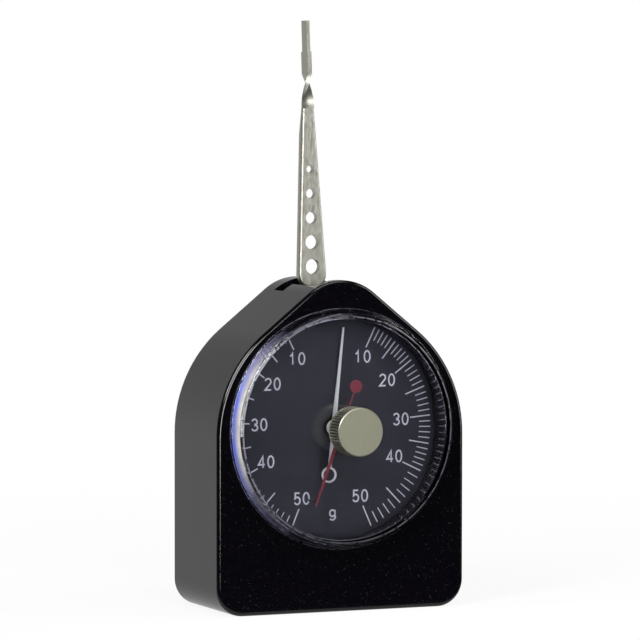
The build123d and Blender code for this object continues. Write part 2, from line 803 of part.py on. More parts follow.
# Dished washer that presses the memory pointer away from the bush
washer_front = bush_back_depth + running_gap
washer_back = memory_depth - running_gap
washer_bore = spindle_radius + screw_gap
washer_points = [(washer_front, washer_radius - washer_thickness), (washer_front, washer_radius),
                 (washer_back, washer_bore + washer_thickness), (washer_back, washer_bore)]
save(turned(washer_points, dial_height), "friction_washer")

# Reset knob and its spindle
knob_front = -knob_face_proud
knob_back = knob_front + knob_length
knob_boss_back = bush_front_depth - running_gap
spindle_front = knob_back - knob_bore_depth
save(turned([(spindle_front, 0), (spindle_front, spindle_radius), (spindle_back_depth, spindle_radius),
             (spindle_back_depth, 0)], dial_height), "knob_spindle")

knob_bore = spindle_radius + seat_gap
knob_points = [(knob_front, 0), (knob_front, knob_radius - knob_chamfer),
               (knob_front + knob_chamfer, knob_radius), (knob_back - knob_chamfer, knob_radius),
               (knob_back, knob_radius - knob_chamfer),
               (knob_back, knob_boss_radius), (knob_boss_back, knob_boss_radius),
               (knob_boss_back, knob_bore), (spindle_front, knob_bore), (spindle_front, 0)]
knurl_side = sqrt(2) * knurl_depth
with BuildPart() as reset_knob:
    add(turned(knob_points, dial_height))
    with BuildSketch(layer(knob_back - knurl_end, dial_height)):
        with PolarLocations(knob_radius, knurl_count):
            Rectangle(knurl_side, knurl_side, rotation=45)
    extrude(amount=knob_length - 2 * knurl_end, mode=Mode.SUBTRACT)
save(reset_knob.part, "reset_knob")
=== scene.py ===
"""Dial force gauge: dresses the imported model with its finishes, dial print, crystal and knurled knob."""
import json
from math import cos, degrees, pi, radians, sin

import bmesh
import bpy
from bpy.props import FloatProperty, FloatVectorProperty, IntProperty, PointerProperty
from mathutils import Matrix, Vector


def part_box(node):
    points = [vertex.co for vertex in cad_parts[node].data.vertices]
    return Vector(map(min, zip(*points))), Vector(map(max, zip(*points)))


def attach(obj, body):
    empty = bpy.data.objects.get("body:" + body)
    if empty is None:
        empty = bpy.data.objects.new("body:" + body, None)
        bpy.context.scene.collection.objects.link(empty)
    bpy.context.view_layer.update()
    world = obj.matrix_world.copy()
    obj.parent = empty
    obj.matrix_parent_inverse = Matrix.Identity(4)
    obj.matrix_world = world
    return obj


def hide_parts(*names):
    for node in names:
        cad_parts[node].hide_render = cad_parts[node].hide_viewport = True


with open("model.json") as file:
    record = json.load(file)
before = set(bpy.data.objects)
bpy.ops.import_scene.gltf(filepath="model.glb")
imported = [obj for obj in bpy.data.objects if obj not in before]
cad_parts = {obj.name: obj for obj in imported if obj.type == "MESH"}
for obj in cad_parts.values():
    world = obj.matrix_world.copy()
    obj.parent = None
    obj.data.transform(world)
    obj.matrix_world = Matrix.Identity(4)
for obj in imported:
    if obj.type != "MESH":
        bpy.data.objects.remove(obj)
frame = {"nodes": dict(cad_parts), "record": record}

bl_info = {
    "name": "Dial force gauge",
    "version": (1, 0, 0),
    "blender": (4, 5, 0),
    "location": "3D View > Sidebar > Gauge",
    "description": "Builds a hand-held dial force gauge on its packed frame",
    "category": "Add Mesh",
}

MM = 0.001
# Two points nearer than this are one
TINY = 0.0001 * MM
# Faces that meet at less than this angle are shaded as one surface
GENTLE = radians(35)
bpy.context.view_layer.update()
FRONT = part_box("case_body")[0].y
DIAL_LOW, DIAL_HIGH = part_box("dial_plate")
DIAL_FACE = DIAL_LOW.y
DIAL_MIDDLE = (DIAL_LOW.z + DIAL_HIGH.z) / 2
BUSH_LOW, BUSH_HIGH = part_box("crystal_bush")
CRYSTAL_LOW, CRYSTAL_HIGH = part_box("crystal")
KNOB_LOW, KNOB_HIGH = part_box("reset_knob")


def linear(code):
    """Linear colour of an sRGB hex code."""
    parts = [int(code[i:i + 2], 16) / 255 for i in (1, 3, 5)]
    return tuple(p / 12.92 if p <= 0.04045 else ((p + 0.055) / 1.055) ** 2.4 for p in parts)


# Sizes and colours a user may change

class GaugeFinishes(bpy.types.PropertyGroup):
    """Colours of the gauge."""
    case: FloatVectorProperty(name="Case", description="Black moulded case", subtype="COLOR",
                              default=linear("#050407"))
    dial: FloatVectorProperty(name="Dial", description="Charcoal dial paint", subtype="COLOR",
                              default=linear("#2e2e39"))
    ink: FloatVectorProperty(name="Ink", description="Print on the dial", subtype="COLOR",
                             default=linear("#f4f4fb"))
    hand: FloatVectorProperty(name="Pointer", description="White pointer paint", subtype="COLOR",
                              default=linear("#ffffff"))
    memory: FloatVectorProperty(name="Memory pointer", description="Red pointer paint", subtype="COLOR",
                                default=linear("#9a3d48"))
    nickel: FloatVectorProperty(name="Nickel", description="Satin nickel of the knob", subtype="COLOR",
                                default=linear("#aeae9a"))
    arm: FloatVectorProperty(name="Arm", description="Satin steel of the measuring arm", subtype="COLOR",
                             default=linear("#c2c1b6"))


class GaugeCrystal(bpy.types.PropertyGroup):
    """Sizes of the crystal."""
    wall: FloatProperty(name="Wall", description="Thickness of the crystal's face", unit="LENGTH",
                        default=2.0 * MM, precision=5)
    side_wall: FloatProperty(name="Side wall", description="Thickness of the crystal's side", unit="LENGTH",
                             default=1.0 * MM, precision=5)
    rim_radius: FloatProperty(name="Rim radius", description="Rounding of the front rim", unit="LENGTH",
                              default=0.8 * MM, precision=5)
    draft: FloatProperty(name="Draft", description="How much the front is smaller than the foot",
                         unit="LENGTH", default=1.05 * MM, precision=5)
    bead: FloatProperty(name="Bead", description="Rounded step where the wall meets the case", unit="LENGTH",
                        default=0.3 * MM, precision=5)
    segments: IntProperty(name="Segments", description="Steps round the rim", default=192, min=48)


class GaugeDial(bpy.types.PropertyGroup):
    """Sizes of the dial print."""
    tick_outer: FloatProperty(name="Tick end", description="Outer radius of the ticks", unit="LENGTH",
                              default=23.45 * MM, precision=5)
    long_tick: FloatProperty(name="Long tick", description="Length of the 5 and 10 ticks", unit="LENGTH",
                             default=4.73 * MM, precision=5)
    short_tick: FloatProperty(name="Short tick", description="Length of the unit ticks", unit="LENGTH",
                              default=2.65 * MM, precision=5)
    long_width: FloatProperty(name="Long tick width", description="Width of the 5 and 10 ticks",
                              unit="LENGTH", default=0.27 * MM, precision=5)
    short_width: FloatProperty(name="Short tick width", description="Width of the unit ticks",
                               unit="LENGTH", default=0.22 * MM, precision=5)
    figure: FloatProperty(name="Figure height", description="Height of the figures", unit="LENGTH",
                          default=2.75 * MM, precision=5)
    stroke: FloatProperty(name="Stroke", description="Width of the figures' strokes", unit="LENGTH",
                          default=0.34 * MM, precision=5)
    print_turn: FloatProperty(name="Print turn", description="How far the print is turned to the left",
                              subtype="ANGLE", default=radians(0.5))
    ink_thickness: FloatProperty(name="Ink thickness", description="How far the ink stands up",
                                 unit="LENGTH", default=0.02 * MM, precision=5)


class GaugeKnob(bpy.types.PropertyGroup):
    """Sizes of the knurled knob."""
    ridges: IntProperty(name="Ridges", description="Straight knurls round the knob", default=50, min=12)
    chamfer: FloatProperty(name="Chamfer", description="Bright edge round the face", unit="LENGTH",
                           default=0.2 * MM, precision=5)
    ridge_end: FloatProperty(name="Ridge end", description="Where the knurls stop before an edge",
                             unit="LENGTH", default=0.12 * MM, precision=5)
    # The black washer is painted shade: a dark disc where the knob shades the crystal and the dial behind it
    shade_washer_radius: FloatProperty(name="Shade washer radius", description="Black washer behind the knob",
                                 unit="LENGTH", default=3.9 * MM, precision=5)
    boss_radius: FloatProperty(name="Boss radius", description="Radius of the boss behind the knob",
                               unit="LENGTH", default=1.9 * MM, precision=5)
    length: FloatProperty(name="Length", description="Length of the knurled part", unit="LENGTH",
                          default=5.15 * MM, precision=5)


class GaugeMemory(bpy.types.PropertyGroup):
    """Sizes of the red memory pointer."""
    turn: FloatProperty(name="Turn", description="Where it is left on the dial", subtype="ANGLE",
                        default=radians(200.4))
    reach: FloatProperty(name="Reach", description="Tip to the middle of the dial", unit="LENGTH",
                         default=17.2 * MM, precision=5)
    root_width: FloatProperty(name="Root width", description="Width at the hub", unit="LENGTH",
                              default=0.9 * MM, precision=5)
    tip_width: FloatProperty(name="Tip width", description="Width at the tip", unit="LENGTH",
                             default=0.36 * MM, precision=5)
    neck_width: FloatProperty(name="Neck width", description="Width of the neck to the disc", unit="LENGTH",
                              default=0.26 * MM, precision=5)
    disc_reach: FloatProperty(name="Disc reach", description="Disc to the middle of the dial", unit="LENGTH",
                              default=9.5 * MM, precision=5)
    disc_radius: FloatProperty(name="Disc radius", description="Radius of the disc", unit="LENGTH",
                               default=1.35 * MM, precision=5)
    hub_radius: FloatProperty(name="Hub radius", description="Radius round the spindle", unit="LENGTH",
                              default=1.3 * MM, precision=5)


class GaugeArm(bpy.types.PropertyGroup):
    """Sizes of the collars pressed behind the arm's holes."""
    web_back: FloatProperty(name="Web back", description="Case front to the back of the arm's web",
                            unit="LENGTH", default=15.3 * MM, precision=5)
    collar_depth: FloatProperty(name="Collar depth", description="How far a collar stands back",
                                unit="LENGTH", default=0.9 * MM, precision=5)
    collar_wall: FloatProperty(name="Collar wall", description="Thickness of a collar", unit="LENGTH",
                               default=0.25 * MM, precision=5)


class GaugeStage(bpy.types.PropertyGroup):
    """Camera and light."""
    yaw: FloatProperty(name="Yaw", description="Camera's turn to the right of straight back",
                       subtype="ANGLE", default=radians(23.433))
    pitch: FloatProperty(name="Pitch", description="Camera's tilt downwards", subtype="ANGLE",
                         default=radians(2.915))
    roll: FloatProperty(name="Roll", description="Camera's roll", subtype="ANGLE", default=radians(0.065))
    distance: FloatProperty(name="Distance", description="Camera to the aimed point", unit="LENGTH",
                            default=0.86176)
    lens: FloatProperty(name="Lens", description="Focal length in millimetres", default=230.98)
    lamp_power: FloatProperty(name="Lamp power", description="Power that the soft boxes share out, in watts",
                              default=15.0)


PROPERTIES = (("gauge_finishes", GaugeFinishes), ("gauge_crystal", GaugeCrystal), ("gauge_dial", GaugeDial),
              ("gauge_memory", GaugeMemory), ("gauge_knob", GaugeKnob), ("gauge_arm", GaugeArm),
              ("gauge_stage", GaugeStage))


# Helpers for nodes and materials

def add_node(tree, kind, settings=None, inputs=None):
    """Adds a node, sets its properties, and sets or links its inputs by name or index."""
    node = tree.nodes.new(kind)
    for name, value in (settings or {}).items():
        setattr(node, name, value)
    for name, value in (inputs or {}).items():
        if isinstance(value, bpy.types.NodeSocket):
            tree.links.new(value, node.inputs[name])
        else:
            node.inputs[name].default_value = value
    return node


def finish(name, colour, **values):
    """Material with one Principled shader; returns it with its tree, shader and object coordinates."""
    material = bpy.data.materials.new(name)
    material.use_nodes = True
    tree = material.node_tree
    shader = tree.nodes["Principled BSDF"]
    shader.inputs["Base Color"].default_value = (*colour, 1)
    material.diffuse_color = (*colour, 1)
    for key, value in values.items():
        shader.inputs[key.replace("_", " ").title().replace("Ior", "IOR")].default_value = value
    place = add_node(tree, "ShaderNodeTexCoord").outputs["Object"]
    return material, tree, shader, place


def uneven(tree, place, size, low, high, detail=2.0, stretch=(1, 1, 1), inside=(0.3, 0.7)):
    """Value that wanders from low to high in spots of a size, drawn out along an axis of small stretch."""
    mapping = add_node(tree, "ShaderNodeMapping", inputs={"Vector": place, "Scale": stretch})
    noise = add_node(tree, "ShaderNodeTexNoise", inputs={"Vector": mapping.outputs["Vector"],
                                                         "Scale": 1 / size, "Detail": detail})
    ramp = add_node(tree, "ShaderNodeMapRange",
                    inputs={"Value": noise.outputs["Fac"], "From Min": inside[0], "From Max": inside[1],
                            "To Min": low, "To Max": high})
    return ramp.outputs["Result"]


def fade(tree, place, axis, start, end, low, high):
    """Value that goes from low to high between two places along an axis."""
    parts = add_node(tree, "ShaderNodeSeparateXYZ", inputs={"Vector": place})
    ramp = add_node(tree, "ShaderNodeMapRange",
                    inputs={"Value": parts.outputs[axis], "From Min": start, "From Max": end,
                            "To Min": low, "To Max": high})
    return ramp.outputs["Result"]


def mottled(tree, shader, place, size, first, second, detail=2.0, inside=(0.3, 0.7)):
    """Base colour that wanders between two colours in spots of a size."""
    share = uneven(tree, place, size, 0, 1, detail, inside=inside)
    blend = add_node(tree, "ShaderNodeMix", {"data_type": "RGBA"},
                     {0: share, 6: (*first, 1), 7: (*second, 1)})
    tree.links.new(blend.outputs[2], shader.inputs["Base Color"])


def relief(tree, shader, place, size, strength, depth, detail=2.0, stretch=(1, 1, 1)):
    """Fine relief of the surface, in spots of a size."""
    height = uneven(tree, place, size, 0, 1, detail, stretch, inside=(0, 1))
    bump = add_node(tree, "ShaderNodeBump",
                    inputs={"Height": height, "Strength": strength, "Distance": depth})
    tree.links.new(bump.outputs["Normal"], shader.inputs["Normal"])


def darker(colour, share):
    return tuple(part * share for part in colour)


def dress(node, material):
    """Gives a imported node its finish."""
    slots = frame["nodes"][node].data.materials
    slots.clear()
    slots.append(material)


# Helpers for shapes

def new_piece(name, shape, *materials):
    """Object in the scene from a bmesh, smooth where its faces meet gently."""
    mesh = bpy.data.meshes.new(name)
    shape.to_mesh(mesh)
    shape.free()
    for material in materials:
        mesh.materials.append(material)
    mesh.shade_smooth()
    mesh.set_sharp_from_angle(angle=GENTLE)
    piece = bpy.data.objects.new(name, mesh)
    bpy.context.scene.collection.objects.link(piece)
    return piece


def turned(profile, segments, height, closed):
    """Bmesh turned about an axis at a height from (y, radius) points, with its normals outwards."""
    shape = bmesh.new()
    rings = []
    for y, radius in profile:
        if radius < TINY:
            rings.append([shape.verts.new((0, y, height))])
            continue
        rings.append([shape.verts.new((radius * sin(2 * pi * i / segments), y,
                                       height + radius * cos(2 * pi * i / segments)))
                      for i in range(segments)])
    pairs = list(zip(rings, rings[1:]))
    if closed:
        pairs.append((rings[-1], rings[0]))
    for first, second in pairs:
        for i in range(segments):
            j = (i + 1) % segments
            corners = [first[i % len(first)], first[j % len(first)],
                       second[j % len(second)], second[i % len(second)]]
            unique = list(dict.fromkeys(corners))
            if len(unique) > 2:
                shape.faces.new(unique)
    bmesh.ops.recalc_face_normals(shape, faces=shape.faces)
    return shape


def arc(middle, radius, start, end, steps):
    """Points of a rounding as (y, radius) pairs, angles from the +y direction."""
    return [(middle[0] + radius * cos(start + (end - start) * i / steps),
             middle[1] + radius * sin(start + (end - start) * i / steps)) for i in range(steps + 1)]


def bow(x, z, wide, tall, start, end, steps=14):
    """Points of an oval bow about (x, z), angles in degrees from the right, turning upwards."""
    turns = [radians(start + (end - start) * i / steps) for i in range(steps + 1)]
    return [(x + wide * cos(turn), z + tall * sin(turn)) for turn in turns]


def sheet_shape(shape, outline, front, back):
    """Adds a flat sheet with an outline of (x, z) points between two depths."""
    near, far = ([shape.verts.new((x, y, z)) for x, z in outline] for y in (front, back))
    shape.faces.new(near)
    shape.faces.new(reversed(far))
    for i, corner in enumerate(near):
        shape.faces.new((near[i - 1], corner, far[i], far[i - 1]))


def turn_on_dial(shape, angle):
    """Turns a shape drawn about the origin by an angle and lifts it to the middle of the dial."""
    bmesh.ops.recalc_face_normals(shape, faces=shape.faces)
    turn = Matrix.Translation((0, 0, DIAL_MIDDLE)) @ Matrix.Rotation(angle, 4, "Y")
    bmesh.ops.transform(shape, matrix=turn, verts=shape.verts)


# Centre lines of the plain figures, one high, with x from the middle and z from the foot
SIGNS = {
    "0": [bow(0, 0.5, 0.27, 0.5, 0, 360, 32)],
    "1": [[(-0.24, 0.74), (-0.1, 0.82), (0, 1), (0, 0)]],
    "2": [bow(0, 0.73, 0.27, 0.27, 165, -38) + [(-0.28, 0), (0.28, 0)]],
    "3": [bow(0, 0.75, 0.24, 0.25, 160, -90) + bow(0, 0.25, 0.28, 0.25, 90, -160)],
    "4": [[(0.12, 0), (0.12, 1), (-0.3, 0.27), (0.3, 0.27)]],
    "5": [[(0.24, 1), (-0.17, 1)] + bow(0, 0.32, 0.27, 0.32, 138, -155)],
    "g": [bow(0, 0.4, 0.25, 0.28, 0, 360, 28),
          [(0.25, 0.68), (0.25, 0.02)] + bow(0, 0.02, 0.25, 0.22, 0, -150)],
}
# A mitre is no longer than the half width of its stroke divided by this
MITRE_LIMIT = 0.4


def ribbon(shape, points, half, thickness):
    """Lays a flat stroke with square ends along points on the dial, mitred where it turns."""
    ring = (Vector(points[0]) - Vector(points[-1])).length < TINY
    line = [Vector(p) for p in (points[:-1] if ring else points)]
    count = len(line)
    sides = []
    for i in range(count):
        before = line[i - 1] if ring or i else None
        after = line[(i + 1) % count] if ring or i + 1 < count else None
        ways = [(b - a).normalized() for a, b in ((before, line[i]), (line[i], after)) if a and b]
        squares = [Vector((-way.y, way.x)) for way in ways]
        square = sum(squares, Vector((0, 0))).normalized()
        reach = half / max(square.dot(squares[0]), MITRE_LIMIT)
        sides.append((line[i] + square * reach, line[i] - square * reach))
    low, high = DIAL_FACE - thickness, DIAL_FACE
    loops = [[shape.verts.new((p[0], y, p[1])) for p, y in
              ((left, low), (right, low), (right, high), (left, high))] for left, right in sides]
    pairs = list(zip(loops, loops[1:]))
    if ring:
        pairs.append((loops[-1], loops[0]))
    else:
        shape.faces.new(loops[0])
        shape.faces.new(reversed(loops[-1]))
    for first, second in pairs:
        for i in range(4):
            j = (i + 1) % 4
            shape.faces.new((first[i], first[j], second[j], second[i]))


def new_tree(name, sockets):
    """Geometry tree with a geometry in and out and named inputs for its sizes."""
    tree = bpy.data.node_groups.new(name, "GeometryNodeTree")
    tree.interface.new_socket("Geometry", in_out="INPUT", socket_type="NodeSocketGeometry")
    for label, kind in sockets.items():
        tree.interface.new_socket(label, in_out="INPUT", socket_type="NodeSocket" + kind)
    tree.interface.new_socket("Geometry", in_out="OUTPUT", socket_type="NodeSocketGeometry")
    return tree, add_node(tree, "NodeGroupInput")


def end_tree(tree, geometry, material):
    """Makes the instances real, gives them their material and hands them to the tree's output."""
    real = add_node(tree, "GeometryNodeRealizeInstances", inputs={"Geometry": geometry})
    painted = add_node(tree, "GeometryNodeSetMaterial",
                       inputs={"Geometry": real.outputs["Geometry"], "Material": material})
    add_node(tree, "NodeGroupOutput", inputs={"Geometry": painted.outputs["Geometry"]})


def run_tree(piece, tree, values):
    """Applies a geometry tree to a piece and keeps the result as a plain mesh."""
    modifier = piece.modifiers.new("shape", "NODES")
    modifier.node_group = tree
    for item in tree.interface.items_tree:
        if item.in_out == "INPUT" and item.name in values:
            modifier[item.identifier] = values[item.name]
    evaluated = piece.evaluated_get(bpy.context.evaluated_depsgraph_get())
    mesh = bpy.data.meshes.new_from_object(evaluated)
    piece.modifiers.remove(modifier)
    old = piece.data
    piece.data = mesh
    bpy.data.meshes.remove(old)
    mesh.name = piece.name


# Finishes

def black_moulding(colour):
    """Glossy black thermoset moulding: near black, with a sheen at a low angle and a faint orange peel."""
    material, tree, shader, place = finish("black thermoset moulding", colour, roughness=0.13, ior=1.5)
    # Tiny paler specks are painted glints off the orange peel, and dust and pits in the mould: only the tops
    # of the spots are coloured
    mottled(tree, shader, place, 0.4 * MM, colour, linear("#262628"), detail=1.0, inside=(0.7, 0.76))
    peel = 1.1 * MM
    tree.links.new(uneven(tree, place, peel, low=0.1, high=0.16), shader.inputs["Roughness"])
    relief(tree, shader, place, peel, strength=0.12, depth=0.02 * MM)
    return material


def clear_acrylic():
    """Polished cast acrylic: clear and colourless, with soft scratches too fine to bend the light."""
    material, tree, shader, place = finish("polished acrylic", linear("#f6f7fb"), roughness=0.02, ior=1.49,
                                           transmission_weight=1.0)
    scratches = uneven(tree, place, 3.0 * MM, low=0.0, high=0.05, detail=3.0, inside=(0.4, 0.8))
    tree.links.new(scratches, shader.inputs["Roughness"])
    return material


def satin_acrylic_painted_glow():
    """Turned edge of the same acrylic, clear and satin, with a painted glow on its left side that stands in
    for the light the wall brings round there.
    """
    clear = linear("#dcd8ff")
    material, tree, shader, place = finish("satin acrylic edge with painted glow", clear, roughness=0.12, ior=1.49)
    # The painted glow covers the left side, and it weakens towards the top and the bottom
    painted_glow_share = fade(tree, place, "X", start=-13 * MM, end=-20 * MM, low=0.0, high=1.0)
    below = fade(tree, place, "Z", DIAL_MIDDLE - 15 * MM, DIAL_MIDDLE - 6 * MM, low=0.25, high=1.0)
    above = fade(tree, place, "Z", DIAL_MIDDLE + 18 * MM, DIAL_MIDDLE + 10 * MM, low=0.3, high=1.0)
    patches = uneven(tree, place, 2.5 * MM, low=0.7, high=1.0, detail=3.0, inside=(0.35, 0.6))
    for limit in (below, above, patches):
        both = add_node(tree, "ShaderNodeMath", {"operation": "MULTIPLY"}, {0: painted_glow_share, 1: limit})
        painted_glow_share = both.outputs["Value"]
    # Less light passes where the glow is painted, so that its pale colour shows
    passed = add_node(tree, "ShaderNodeMapRange", inputs={"Value": painted_glow_share, "To Min": 1.0, "To Max": 0.25})
    tree.links.new(passed.outputs["Result"], shader.inputs["Transmission Weight"])
    # The painted glow is blue near the case and a warm white towards the front
    ahead = fade(tree, place, "Y", FRONT - 0.9 * MM, FRONT - 2.2 * MM, low=0.0, high=1.0)
    painted_glow = add_node(tree, "ShaderNodeMix", {"data_type": "RGBA"},
                    {0: ahead, 6: (*linear("#6f80f0"), 1), 7: (*linear("#fbf8e6"), 1)})
    shade = add_node(tree, "ShaderNodeMix", {"data_type": "RGBA"},
                     {0: painted_glow_share, 6: (*clear, 1), 7: painted_glow.outputs[2]})
    tree.links.new(shade.outputs[2], shader.inputs["Base Color"])
    lathe = uneven(tree, place, 2.0 * MM, low=0.08, high=0.16, stretch=(1, 0.1, 1))
    tree.links.new(lathe, shader.inputs["Roughness"])
    return material


def ground_acrylic():
    """Edge of the same acrylic where the tool left it matt: it catches light as a thin grey line."""
    material, tree, shader, place = finish("ground acrylic edge", linear("#b2b1c6"), ior=1.49)
    lathe = 1.5 * MM
    passed = uneven(tree, place, lathe, low=0.95, high=0.8)
    tree.links.new(passed, shader.inputs["Transmission Weight"])
    tree.links.new(uneven(tree, place, lathe, low=0.2, high=0.4), shader.inputs["Roughness"])
    return material


def dial_paint(colour):
    """Matt stoved enamel on brass sheet: charcoal with a very fine tooth."""
    material, tree, shader, place = finish("matt stoved enamel", colour, roughness=0.6, ior=1.5)
    tooth = 0.25 * MM
    mottled(tree, shader, place, tooth, darker(colour, 0.85), colour, detail=3.0)
    relief(tree, shader, place, tooth, strength=0.3, depth=0.01 * MM, detail=3.0)
    return material


def screen_ink(colour):
    """Screen-printed ink: off-white, matt, slightly uneven in its cover."""
    material, tree, shader, place = finish("screen printed ink", colour, roughness=0.7, ior=1.5)
    mottled(tree, shader, place, 0.4 * MM, darker(colour, 0.86), colour)
    return material


def pointer_paint(name, colour):
    """Sprayed matt enamel on thin sheet: even, with a little orange peel."""
    material, tree, shader, place = finish(name, colour, roughness=0.45, ior=1.5)
    peel = 0.3 * MM
    mottled(tree, shader, place, peel, darker(colour, 0.85), colour, inside=(0, 1))
    relief(tree, shader, place, peel, strength=0.2, depth=0.01 * MM)
    return material


def drawn_metal(name, colour, roughness, size, stretch):
    """Metal whose fine marks run one way, so it glows softly across them. Real marks are too fine to
    show, and are drawn several times as coarse."""
    material, tree, shader, place = finish(name, colour, metallic=1.0, roughness=roughness)
    marks = uneven(tree, place, size, roughness * 0.8, roughness * 1.25, detail=3.0, stretch=stretch)
    tree.links.new(marks, shader.inputs["Roughness"])
    mottled(tree, shader, place, size * 12, darker(colour, 0.94), colour)
    relief(tree, shader, place, size, strength=0.05, depth=0.005 * MM, detail=3.0, stretch=stretch)
    return material


def painted_shade_black():
    """Near-black matt finish with almost no sheen: painted shade, on the grooves of the knob, the washer
    behind it and the fittings at the middle of the dial.
    """
    material, tree, shader, place = finish("black for painted shade", linear("#101011"), roughness=0.5, ior=1.5)
    tree.links.new(uneven(tree, place, 0.6 * MM, low=0.4, high=0.6), shader.inputs["Roughness"])
    return material


# Operators

class GAUGE_OT_stage(bpy.types.Operator):
    """Sets the pale floor, the soft lamps, the white surroundings and the camera"""
    bl_idname = "gauge.stage"
    bl_label = "Stage"

    # Name, place and size in metres, and part of the lamp power
    lamps = (("soft_box_front", (-0.16, -1.25, 0.28), (0.34, 0.76), 0.8),
             ("soft_box_left", (-0.85, -0.6, 0.75), (0.25, 0.7), 0.9),
             ("soft_box_top", (0.1, -0.25, 1.1), (0.8, 0.8), 0.3),
             ("soft_box_right", (0.95, -0.6, 0.4), (0.22, 1.0), 0.4))
    lit_point = (0, 0, 0.05)
    # The paper starts just in front of the case and runs far back
    paper_corners = ((-6, -0.012), (6, -0.012), (6, 40), (-6, 40))
    aimed_point = (-5.121 * MM, FRONT, 61.75 * MM)
    sensor_width = 36
    clip = (0.05, 100)

    def surround(self, scene):
        """A white sweep stands behind the object and pales upwards, and the room in front of it is dark."""
        world = bpy.data.worlds.new("studio")
        world.use_nodes = True
        tree = world.node_tree
        light = tree.nodes["Background"]
        way = add_node(tree, "ShaderNodeLightPath")
        direction = add_node(tree, "ShaderNodeTexCoord").outputs["Generated"]
        behind = fade(tree, direction, "Y", start=0.72, end=0.8, low=0.012, high=1.0)
        rise = fade(tree, direction, "Z", start=0.0, end=0.42, low=0.6, high=0.38)
        sweep = add_node(tree, "ShaderNodeMath", {"operation": "MULTIPLY"}, {0: behind, 1: rise})
        level = add_node(tree, "ShaderNodeMix",
                         inputs={0: way.outputs["Is Camera Ray"], 2: sweep.outputs["Value"], 3: 1.0})
        tree.links.new(level.outputs[0], light.inputs["Strength"])
        light.inputs["Color"].default_value = (1, 1, 1, 1)
        scene.world = world

    def lay_paper(self):
        """Matt white paper that burns out to white away from the object, and keeps the shadow close to it."""
        material, tree, shader, place = finish("white paper", linear("#efefef"), roughness=0.9)
        way = add_node(tree, "ShaderNodeLightPath")
        away = add_node(tree, "ShaderNodeVectorMath", {"operation": "LENGTH"}, {0: place})
        burn = add_node(tree, "ShaderNodeMapRange",
                        inputs={"Value": away.outputs["Value"], "From Min": 0.06, "From Max": 0.3,
                                "To Min": 0.9, "To Max": 1.0})
        burnt = add_node(tree, "ShaderNodeMath", {"operation": "MULTIPLY"},
                         {0: way.outputs["Is Camera Ray"], 1: burn.outputs["Result"]})
        white = add_node(tree, "ShaderNodeEmission", inputs={"Color": (1, 1, 1, 1), "Strength": 1.0})
        seen = add_node(tree, "ShaderNodeMixShader",
                        inputs={0: burnt.outputs["Value"], 1: shader.outputs["BSDF"],
                                2: white.outputs["Emission"]})
        # A mirror sees it pale behind the object and dark to the sides and in front, as the room is
        parts = add_node(tree, "ShaderNodeSeparateXYZ", inputs={"Vector": place})
        aside = add_node(tree, "ShaderNodeMath", {"operation": "ABSOLUTE"}, {0: parts.outputs["X"]})
        back = add_node(tree, "ShaderNodeMath", {"operation": "MULTIPLY_ADD"},
                        {0: aside.outputs["Value"], 1: -0.7, 2: parts.outputs["Y"]})
        pale = add_node(tree, "ShaderNodeMapRange",
                        inputs={"Value": back.outputs["Value"], "From Min": -0.045, "From Max": -0.028,
                                "To Min": 0.05, "To Max": 0.6})
        mirrored = add_node(tree, "ShaderNodeEmission",
                            inputs={"Color": (1, 1, 1, 1), "Strength": pale.outputs["Result"]})
        both = add_node(tree, "ShaderNodeMixShader",
                        inputs={0: way.outputs["Is Glossy Ray"], 1: seen.outputs["Shader"],
                                2: mirrored.outputs["Emission"]})
        tree.links.new(both.outputs["Shader"], tree.nodes["Material Output"].inputs["Surface"])
        shape = bmesh.new()
        shape.faces.new([shape.verts.new((x, y, 0)) for x, y in self.paper_corners])
        floor = new_piece("floor", shape, material)

    def hang_lamps(self, scene, power):
        for name, spot, size, part in self.lamps:
            lamp = bpy.data.lights.new(name, "AREA")
            lamp.shape = "RECTANGLE"
            lamp.size, lamp.size_y = size
            lamp.energy = power * part
            item = bpy.data.objects.new(name, lamp)
            scene.collection.objects.link(item)
            item.location = spot
            item.rotation_mode = "QUATERNION"
            item.rotation_quaternion = (Vector(self.lit_point) - Vector(spot)).to_track_quat("-Z", "Y")

    def set_camera(self, scene, props):
        data = bpy.data.cameras.new("camera")
        data.lens = props.lens
        data.sensor_width = self.sensor_width
        data.clip_start, data.clip_end = self.clip
        camera = bpy.data.objects.new("camera", data)
        scene.collection.objects.link(camera)
        ahead = Vector((sin(props.yaw) * cos(props.pitch), cos(props.yaw) * cos(props.pitch),
                        -sin(props.pitch)))
        right = Vector((cos(props.yaw), -sin(props.yaw), 0))
        up = right.cross(ahead)
        rolled_right = right * cos(props.roll) + up * sin(props.roll)
        rolled_up = up * cos(props.roll) - right * sin(props.roll)
        pose = Matrix((rolled_right, rolled_up, -ahead)).transposed().to_4x4()
        pose.translation = Vector(self.aimed_point) - ahead * props.distance
        camera.matrix_world = pose
        scene.camera = camera

    def execute(self, context):
        scene = context.scene
        scene.view_settings.view_transform = "Standard"
        self.surround(scene)
        self.lay_paper()
        self.hang_lamps(scene, scene.gauge_stage.lamp_power)
        self.set_camera(scene, scene.gauge_stage)
        return {"FINISHED"}


class GAUGE_OT_case(bpy.types.Operator):
    """Finishes the moulded case and its back cover"""
    bl_idname = "gauge.case"
    bl_label = "Case"

    def execute(self, context):
        material = black_moulding(context.scene.gauge_finishes.case)
        for node in ("case_body", "back_cover"):
            dress(node, material)
        return {"FINISHED"}


